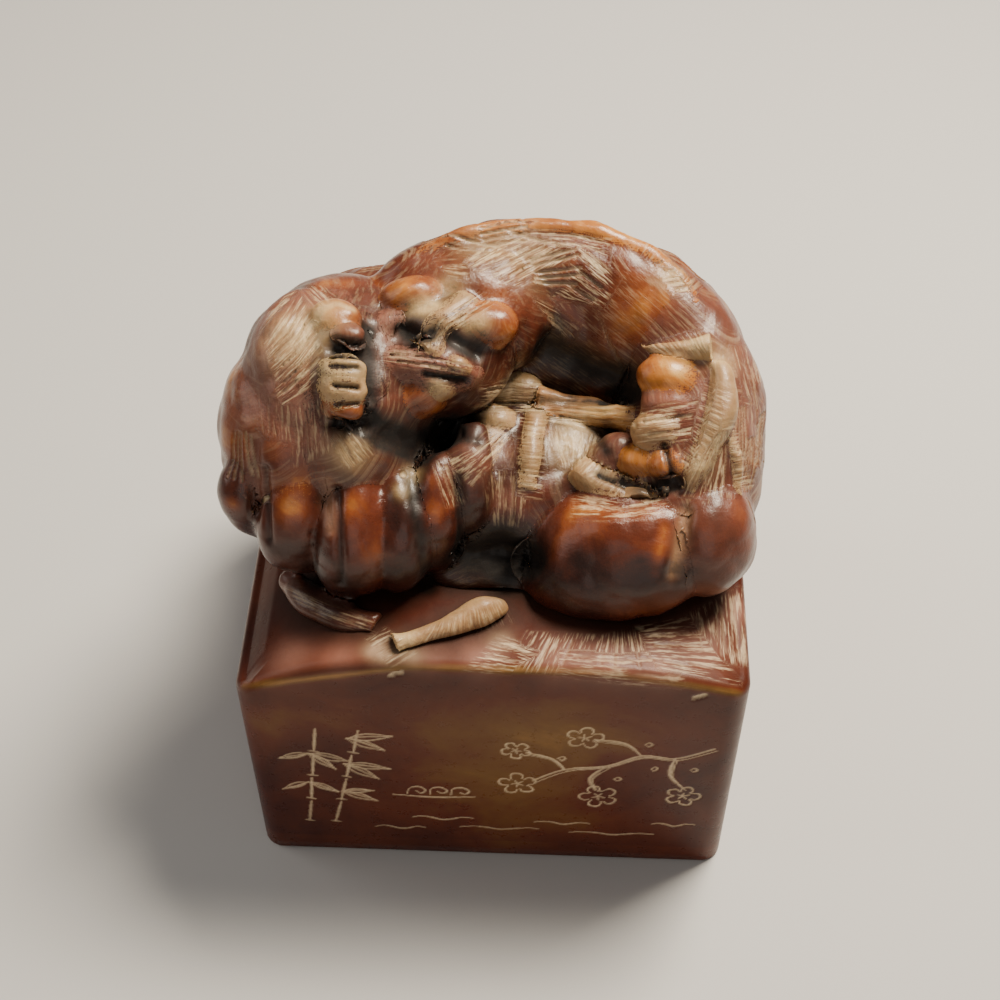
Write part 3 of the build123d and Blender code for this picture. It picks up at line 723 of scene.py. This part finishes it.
# hair and chisel strokes: guides in places seen from the viewpoint, that each stroke crosses in turn
strokeSets = [
    # guides, count, width, depth, pale
    ([[(268, 343), (272, 358), (279, 374), (280, 388), (284, 402)],
      [(284, 322), (292, 340), (298, 356), (300, 368), (306, 386)],
      [(300, 298), (308, 318), (314, 334), (317, 348), (322, 370)]], 15, 0.24, 0.26, 0.9),
    ([[(262, 330), (270, 312)], [(276, 312), (284, 298)], [(292, 298), (300, 289)]], 6, 0.2, 0.2, 0.8),
    ([[(303, 290), (322, 288)], [(316, 304), (330, 296)]], 4, 0.2, 0.2, 0.7),
    ([[(296, 412), (326, 402)], [(298, 436), (330, 428)], [(298, 462), (334, 446)]], 11, 0.17, 0.14, 0.5),
    ([[(264, 400), (290, 408)], [(266, 430), (292, 438)]], 7, 0.16, 0.12, 0.4),
    ([[(336, 440), (352, 432)], [(350, 462), (368, 452)]], 7, 0.2, 0.16, 0.8),
    ([[(466, 262), (480, 270), (500, 280), (520, 284)],
      [(492, 246), (512, 256), (532, 262), (548, 268)],
      [(520, 236), (545, 240), (566, 248), (570, 256)]], 14, 0.24, 0.26, 0.95),
    ([[(530, 233), (545, 243)], [(570, 234), (575, 246)], [(606, 242), (606, 256)]], 5, 0.2, 0.2, 0.9),
    ([[(580, 250), (570, 282), (556, 296)], [(596, 264), (584, 292), (566, 300)],
      [(613, 279), (600, 303), (582, 303)]], 7, 0.3, 0.32, 0.95),
    ([[(440, 262), (450, 274)], [(462, 262), (466, 276)]], 4, 0.2, 0.16, 0.6),
    ([[(538, 302), (548, 318)], [(556, 312), (560, 330)], [(574, 326), (570, 342)]], 5, 0.26, 0.26, 0.6),
    ([[(600, 318), (612, 345)], [(606, 340), (618, 362)], [(620, 362), (626, 380)]], 7, 0.18, 0.2, 0.45),
    ([[(657, 264), (676, 292)], [(668, 263), (688, 290)]], 7, 0.22, 0.22, 0.95),
    ([[(640, 250), (690, 292)], [(644, 244), (696, 286)]], 12, 0.16, 0.16, 0.5),
    ([[(484, 388), (486, 408)], [(512, 383), (514, 409)], [(544, 386), (543, 408)]], 6, 0.24, 0.26, 0.95),
    ([[(497, 428), (508, 440)], [(470, 450), (488, 462)], [(445, 464), (470, 480)]], 12, 0.2, 0.2, 0.8),
    ([[(488, 476), (526, 476)], [(490, 500), (524, 502)], [(492, 522), (522, 524)]], 8, 0.16, 0.16, 0.4),
    ([[(524, 418), (521, 492)], [(544, 420), (538, 494)]], 17, 0.14, 0.06, 0.6),
    ([[(550, 402), (548, 418)], [(600, 406), (600, 424)], [(636, 404), (634, 424)]], 5, 0.22, 0.22, 0.9),
    ([[(552, 430), (596, 440)], [(562, 462), (588, 466)]], 10, 0.18, 0.16, 0.7),
    ([[(642, 412), (642, 441)], [(668, 408), (668, 438)], [(694, 404), (690, 436)]], 6, 0.26, 0.28, 0.95),
    ([[(645, 347), (700, 336)], [(655, 352), (708, 352)]], 8, 0.14, 0.07, 0.7),
    ([[(710, 386), (686, 460)], [(728, 392), (700, 470)]], 20, 0.14, 0.06, 0.7),
    ([[(716, 388), (692, 470)], [(714, 390), (690, 472)]], 3, 0.2, 0.2, 0.8),
    ([[(724, 425), (740, 486)], [(732, 424), (750, 484)]], 12, 0.14, 0.08, 0.8),
    ([[(686, 492), (726, 492)], [(700, 462), (728, 458)], [(716, 436), (728, 430)]], 9, 0.17, 0.16, 0.7),
    ([[(735, 352), (760, 400)], [(742, 360), (766, 408)]], 12, 0.17, 0.14, 0.6),
    ([[(748, 400), (764, 470)], [(756, 402), (770, 472)]], 12, 0.17, 0.14, 0.6),
    ([[(735, 350), (755, 350)], [(750, 400), (768, 410)], [(752, 460), (770, 470)]], 5, 0.17, 0.14, 0.5),
    ([[(578, 466), (616, 492)], [(588, 458), (624, 480)]], 8, 0.2, 0.2, 0.8),
    ([[(576, 500), (576, 514)], [(620, 506), (622, 516)], [(660, 500), (670, 510)]], 4, 0.2, 0.2, 0.8),
    ([[(384, 352), (386, 362)], [(430, 356), (430, 368)], [(470, 366), (470, 376)]], 4, 0.2, 0.2, 0.5),
    ([[(478, 296), (490, 304)], [(440, 320), (452, 328)], [(428, 344), (440, 350)]], 5, 0.18, 0.16, 0.8),
    ([[(430, 630), (500, 606)], [(424, 640), (506, 618)]], 12, 0.14, 0.07, 0.6),
    ([[(372, 640), (392, 662)], [(386, 632), (410, 652)]], 6, 0.2, 0.2, 0.9),
    ([[(500, 640), (470, 668)], [(540, 652), (510, 672)]], 10, 0.2, 0.2, 0.85),
    ([[(530, 636), (600, 640), (640, 632)], [(510, 668), (590, 672), (650, 676)]], 16, 0.18, 0.16, 0.6),
    ([[(560, 650), (560, 672)], [(620, 655), (620, 680)], [(680, 650), (680, 684)]], 8, 0.18, 0.15, 0.55),
    ([[(690, 615), (745, 590)], [(700, 660), (748, 660)]], 14, 0.2, 0.18, 0.7),
    ([[(640, 628), (660, 668)], [(690, 620), (735, 680)]], 9, 0.18, 0.16, 0.7),
    ([[(284, 588), (300, 606)], [(330, 608), (336, 622)], [(372, 622), (374, 634)]], 4, 0.17, 0.14, 0.4),
    ([[(438, 466), (448, 462)], [(450, 502), (462, 500)]], 3, 0.2, 0.18, 0.9),
]
for guides, count, width, depth, bright in strokeSets:
    comb(guides, count, width, depth, bright)
for across, down, size in (      # small slanted chips
        (396, 674, 0.8), (700, 697, 0.7), (640, 628, 0.8), (757, 632, 0.8), (404, 474, 0.5), (262, 500, 0.3)):
    spot = seenAt(across, down)
    if spot is not None:
        scratch([spot - (size * 0.7, 0, 0.25), spot + (size * 0.7, 0, 0.3)], 0.3, 0.25, 1.0)
print("strokes cut")


# the picture cut into the front: bamboo, a blossom branch, a cloud and water, in millimetres across and up
engraving = {"wobble": 0.07, "softSteps": 4, "thin": 0.7, "thick": 1.05}


def engrave(line, width, depth, pale):
    wobble, soft = engraving["wobble"], engraving["softSteps"]
    line = [
        np.array(point, float) + (chance.uniform(-wobble, wobble), chance.uniform(-wobble, wobble))
        for point in line]
    smooth = []
    for index in range(len(line) - 1):
        before, first = line[max(index - 1, 0)], line[index]
        second, after = line[index + 1], line[min(index + 2, len(line) - 1)]
        for step in range(soft):
            t = step / soft
            smooth.append(0.5 * (
                2 * first + (second - before) * t + (2 * before - 5 * first + 4 * second - after) * t * t
                + (3 * first - before - 3 * second + after) * t ** 3))
    smooth.append(line[-1])
    carved = [(x, -block["half"], z) for x, z in smooth]
    pale *= chance.uniform(0.8, 1.1)
    scratch(carved, width * engraving["thin"], depth * engraving["thin"], pale)
    quarter = max(1, len(carved) // 4)
    if len(carved) > 4:
        scratch(carved[quarter:-quarter], width * engraving["thick"], depth, pale)


def leaf(x, z, angle, length):
    ways = (math.cos(math.radians(angle)), math.sin(math.radians(angle)))
    for bow in (-0.12, 0.02, 0.13):
        bend = (
            x + ways[0] * length * 0.45 - ways[1] * length * bow,
            z + ways[1] * length * 0.45 + ways[0] * length * bow)
        engrave([(x, z), bend, (x + ways[0] * length, z + ways[1] * length)], 0.15, 0.1, 0.75)


def blossom(x, z, radius, turn):
    for petal in range(5):
        angle = math.radians(turn + 72 * petal)
        tipX, tipZ = x + radius * math.cos(angle), z + radius * math.sin(angle)
        ring = []
        for step in range(7):
            swing = angle - 2.2 + 4.4 * step / 6
            ring.append((tipX + radius * 0.5 * math.cos(swing), tipZ + radius * 0.5 * math.sin(swing)))
        engrave(ring, 0.15, 0.1, 0.85)
        vein = (x + radius * 0.55 * math.cos(angle + 0.3), z + radius * 0.55 * math.sin(angle + 0.3))
        engrave([(x, z), vein], 0.12, 0.08, 0.7)


for x, lean in ((-19.4, 0.5), (-16.6, 0.9)):     # bamboo stems with their joints
    for step in range(4):
        base = (x + lean * step, 6.0 + 4.6 * step)
        engrave([base, (base[0] + lean * 0.85, base[1] + 4.1)], 0.2, 0.1, 0.8)
        engrave([(base[0] - 0.5, base[1] + 0.1), (base[0] + 0.5, base[1] - 0.1)], 0.15, 0.08, 0.7)
for x, z, angle, length in (
        (-18.5, 19.4, -18, 4.4), (-18.5, 19.4, -48, 3.9), (-18.5, 19.4, 200, 3.2), (-15.0, 17.6, -8, 4.8),
        (-15.0, 17.6, -38, 4.4), (-14.4, 22.4, 8, 4.6), (-14.4, 22.4, -28, 4.2), (-18.9, 13.8, 208, 3.2),
        (-18.9, 13.8, -30, 3.4), (-15.6, 12.2, -24, 4.0), (-15.6, 12.2, 6, 3.4)):
    leaf(x, z, angle, length)
for line in (
        [(22.3, 22.6), (18.6, 20.6), (15.2, 20.9), (11.8, 18.8), (7.6, 17.9), (4.4, 15.6)],
        [(15.2, 20.9), (13.4, 23.0), (10.4, 23.6)], [(11.8, 18.8), (10.2, 16.4), (10.8, 14.2)],
        [(18.6, 20.6), (18.2, 17.6), (19.8, 15.0)], [(7.6, 17.9), (6.2, 19.8), (3.6, 20.8)]):
    engrave(line, 0.24, 0.12, 0.85)
    engrave([(x + 0.25, z - 0.28) for x, z in line], 0.13, 0.08, 0.7)
for x, z, radius, turn in (
        (9.4, 23.9, 1.25, 10), (11.2, 12.9, 1.35, 40), (2.8, 14.9, 1.3, 25), (19.9, 13.5, 1.2, 0),
        (2.6, 21.2, 1.0, 50)):
    blossom(x, z, radius, turn)
for x, z in ((15.8, 23.0), (16.6, 18.6), (7.2, 20.0), (13.0, 16.4), (20.6, 18.6)):     # buds
    engrave([(x - 0.35, z), (x, z + 0.4), (x + 0.35, z), (x, z - 0.35), (x - 0.35, z)], 0.13, 0.1, 0.8)
for x, z, length in (      # water
        (-8.4, 7.4, 6.5), (-3.4, 5.7, 8.5), (4.6, 7.2, 6.0), (8.4, 5.3, 9.0), (-12.4, 5.2, 5.4), (17.0, 7.6, 4.6)):
    engrave([(x + length * step / 6, z + 0.28 * math.sin(step * 1.5)) for step in range(7)], 0.15, 0.09, 0.75)
for turn in range(3):      # a cloud over the water
    x = -7.6 + 2.3 * turn
    engrave([
        (x - 1.1, 12.2), (x - 0.9, 13.3), (x + 0.1, 13.7), (x + 0.8, 13.0), (x + 0.3, 12.4),
        (x - 0.2, 12.8)], 0.15, 0.09, 0.75)
engrave([(-10.2, 12.0), (-6.0, 11.6), (-1.6, 12.0)], 0.15, 0.09, 0.75)
print("front engraved")

# hair in tufts, round the sides and back, in millimetres
tuft = {"spread": 0.62, "width": 0.2, "depth": 0.2, "marks": 8, "fan": 0.12, "facing": 0.35}


def tuftOfHair(node, start, heading, length, count, bright):
    surface = jobs[node]["tree"]
    side = np.cross(heading, (0, 0, 1.0))
    side = side / max(np.linalg.norm(side), 0.001)
    for number in range(count):
        offset = (number - (count - 1) / 2) * tuft["spread"]
        spot = np.array(start) + side * offset + np.array([0, 0, 1.0]) * chance.uniform(-0.2, 0.2)
        turn = np.array(heading) + side * (offset * tuft["fan"] + chance.uniform(-0.05, 0.05))
        path = []
        for step in range(tuft["marks"]):
            found = surface.find_nearest(Vector(spot / 1000))
            if found[0] is None:
                break
            spot = np.array(found[0]) * 1000
            facing = np.array(found[1])
            path.append(spot.copy())
            along = turn - facing * (turn @ facing)
            along = along / max(np.linalg.norm(along), 0.001)
            spot = spot + along * length / (tuft["marks"] - 1) * chance.uniform(0.85, 1.1)
        scratch(path, tuft["width"] * chance.uniform(0.8, 1.15), tuft["depth"], bright * chance.uniform(0.6, 1))


for node, tufts, facing, heading, length, strands, bright in (      # facing: the way that the furry places look
        ("right_back", 34, (0.1, 0.9, 0.3), (0.9, 0.1, -0.5), 5.5, 6, 0.55),
        ("right_back", 8, (0, 0.3, 0.9), (0.9, 0.3, -0.1), 4.5, 5, 0.5),
        ("right_flank", 18, (0.9, 0.2, 0.1), (0.15, -0.9, -0.5), 5.0, 6, 0.5),
        ("left_haunch", 16, (-0.3, 0.85, 0.3), (-0.8, -0.1, -0.5), 5.0, 6, 0.5),
        ("left_shoulder", 7, (-0.95, 0.1, 0.1), (0, -0.5, -0.8), 4.5, 5, 0.4),
        ("left_body", 8, (-0.6, 0.5, 0.5), (-0.5, 0.4, -0.5), 4.5, 5, 0.5)):
    able = np.flatnonzero(jobs[node]["normals"] @ np.array(facing) > tuft["facing"])
    for number in range(tufts):
        start = jobs[node]["spots"][able[chance.randrange(len(able))]]
        tuftOfHair(node, start, heading, length, strands, bright)
print("hair cut")

# dirt, old wax and painted shade lie in the hollows, a painted shadow lies on the shelf round the knob, and the open
# high places are painted lighter, towards amber, as lit
dirtAndShade = {"near": 0.0012, "shelfNear": 0.006, "shelfShade": 0.75, "from": 0.38, "gain": 2.2, "even": 0.24, "rub": 0.5}
for node, job in jobs.items():
    if node == "seal_block":
        continue
    shade = np.zeros(len(job["spots"]))
    for index, spot in enumerate(job["spots"]):
        near = depthSpots.find(Vector(spot / 1000))
        shade[index] = depths[near[1]] if near[2] < dirtAndShade["near"] else 0
        if node == "top_shelf" and near[2] < dirtAndShade["shelfNear"]:
            shade[index] = max(shade[index], dirtAndShade["shelfShade"] * (1 - near[2] / dirtAndShade["shelfNear"]))
    if node != "top_shelf":
        job["warm"] += dirtAndShade["rub"] * (dirtAndShade["even"] - shade)
    job["grime"] += np.clip((shade - dirtAndShade["from"]) * dirtAndShade["gain"], 0, 1)
print("hollows darkened")

for node, job in jobs.items():
    job["spots"] -= job["normals"] * (job["sink"] + job["press"])[:, None]
    job["spots"] = np.clip(job["spots"], np.array(cadLow) * 1000, np.array(cadHigh) * 1000)
    mesh = job["piece"].data
    mesh.vertices.foreach_set("co", (job["spots"] / 1000).astype(np.float32).ravel())
    for channel in paintChannels:
        values = job[channel] if channel.startswith("comb") else np.clip(job[channel], -1, 1)
        attribute = mesh.attributes.new(channel, "FLOAT", "POINT")
        attribute.data.foreach_set("value", values.astype(np.float32))
    mesh.update()
print("carving done")

# floor and light
bpy.ops.mesh.primitive_plane_add(size=3, location=(0, 0, 0))
floor = bpy.context.object
floor.name = "paleFloor"
floorFinish = bpy.data.materials.new("paleFloorFinish")
floorFinish.use_nodes = True
floorShader = floorFinish.node_tree.nodes["Principled BSDF"]
floorShader.inputs["Base Color"].default_value = (0.62, 0.61, 0.6, 1)
floorShader.inputs["Roughness"].default_value = 0.8
floor.data.materials.append(floorFinish)

lamps = {
    "keyLight": {"at": (0.11, 0.09, 0.30), "size": 0.12, "power": 2.4, "tone": (1.0, 0.89, 0.72)},
    "sideLight": {"at": (-0.30, 0.02, 0.22), "size": 0.25, "power": 0.35, "tone": (1.0, 0.94, 0.86)},
    "frontFill": {"at": (0.02, -0.36, 0.16), "size": 0.3, "power": 0.24, "tone": (1.0, 0.94, 0.86)},
}
for name, lamp in lamps.items():
    bpy.ops.object.light_add(type="AREA", location=lamp["at"])
    light = bpy.context.object
    light.name = name
    light.data.size = lamp["size"]
    light.data.energy = lamp["power"]
    light.data.color = lamp["tone"]
    light.rotation_euler = (Vector((0, 0, 0.03)) - Vector(lamp["at"])).to_track_quat("-Z", "Y").to_euler()
world = bpy.data.worlds.new("softRoom")
world.use_nodes = True
world.node_tree.nodes["Background"].inputs["Color"].default_value = (0.96, 0.95, 0.93, 1)
world.node_tree.nodes["Background"].inputs["Strength"].default_value = 0.12
bpy.context.scene.world = world
print("floor and light set")
